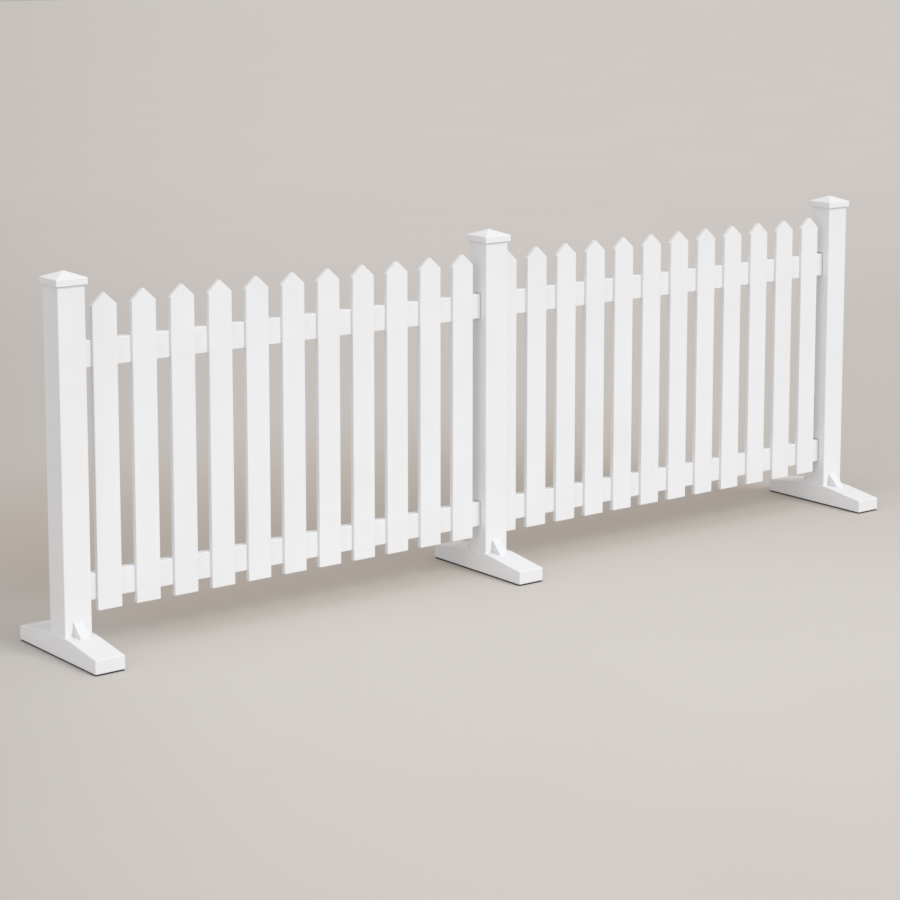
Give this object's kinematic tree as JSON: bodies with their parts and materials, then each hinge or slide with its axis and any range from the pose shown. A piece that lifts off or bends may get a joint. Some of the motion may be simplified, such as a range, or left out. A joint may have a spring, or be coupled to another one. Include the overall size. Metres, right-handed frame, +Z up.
{
  "type": "free-standing picket fence panel",
  "caption": "White free-standing picket fence with capped square posts on braced cross feet, rails let into the posts and pointed pickets housed in the rails.",
  "frame": {"origin": "on the ground, halfway along the fence and halfway through its depth", "axes": "+X along the fence to the right as seen from the picket side, +Y from the picket side to the rail side, +Z up"},
  "size_m": [3.651, 0.508, 1.278],
  "materials": {
    "post_paint": "satin white paint on square timber posts",
    "cap_paint": "satin white paint on low pyramid timber caps",
    "foot_paint": "satin white paint on timber feet and braces",
    "rail_paint": "satin white paint on timber rails",
    "picket_paint": "satin white paint on sawn timber pickets"
  },
  "bodies": {
    "root": {"left_back_brace": "foot_paint", "left_bottom_rail": "rail_paint", "left_foot": "foot_paint", "left_front_brace": "foot_paint", "left_picket_01": "picket_paint", "left_picket_02": "picket_paint", "left_picket_03": "picket_paint", "left_picket_04": "picket_paint", "left_picket_05": "picket_paint", "left_picket_06": "picket_paint", "left_picket_07": "picket_paint", "left_picket_08": "picket_paint", "left_picket_09": "picket_paint", "left_picket_10": "picket_paint", "left_picket_11": "picket_paint", "left_post": "post_paint", "left_post_cap": "cap_paint", "left_top_rail": "rail_paint", "middle_back_brace": "foot_paint", "middle_foot": "foot_paint", "middle_front_brace": "foot_paint", "middle_post": "post_paint", "middle_post_cap": "cap_paint", "right_back_brace": "foot_paint", "right_bottom_rail": "rail_paint", "right_foot": "foot_paint", "right_front_brace": "foot_paint", "right_picket_01": "picket_paint", "right_picket_02": "picket_paint", "right_picket_03": "picket_paint", "right_picket_04": "picket_paint", "right_picket_05": "picket_paint", "right_picket_06": "picket_paint", "right_picket_07": "picket_paint", "right_picket_08": "picket_paint", "right_picket_09": "picket_paint", "right_picket_10": "picket_paint", "right_picket_11": "picket_paint", "right_picket_12": "picket_paint", "right_post": "post_paint", "right_post_cap": "cap_paint", "right_top_rail": "rail_paint"}
  },
  "joints": []
}
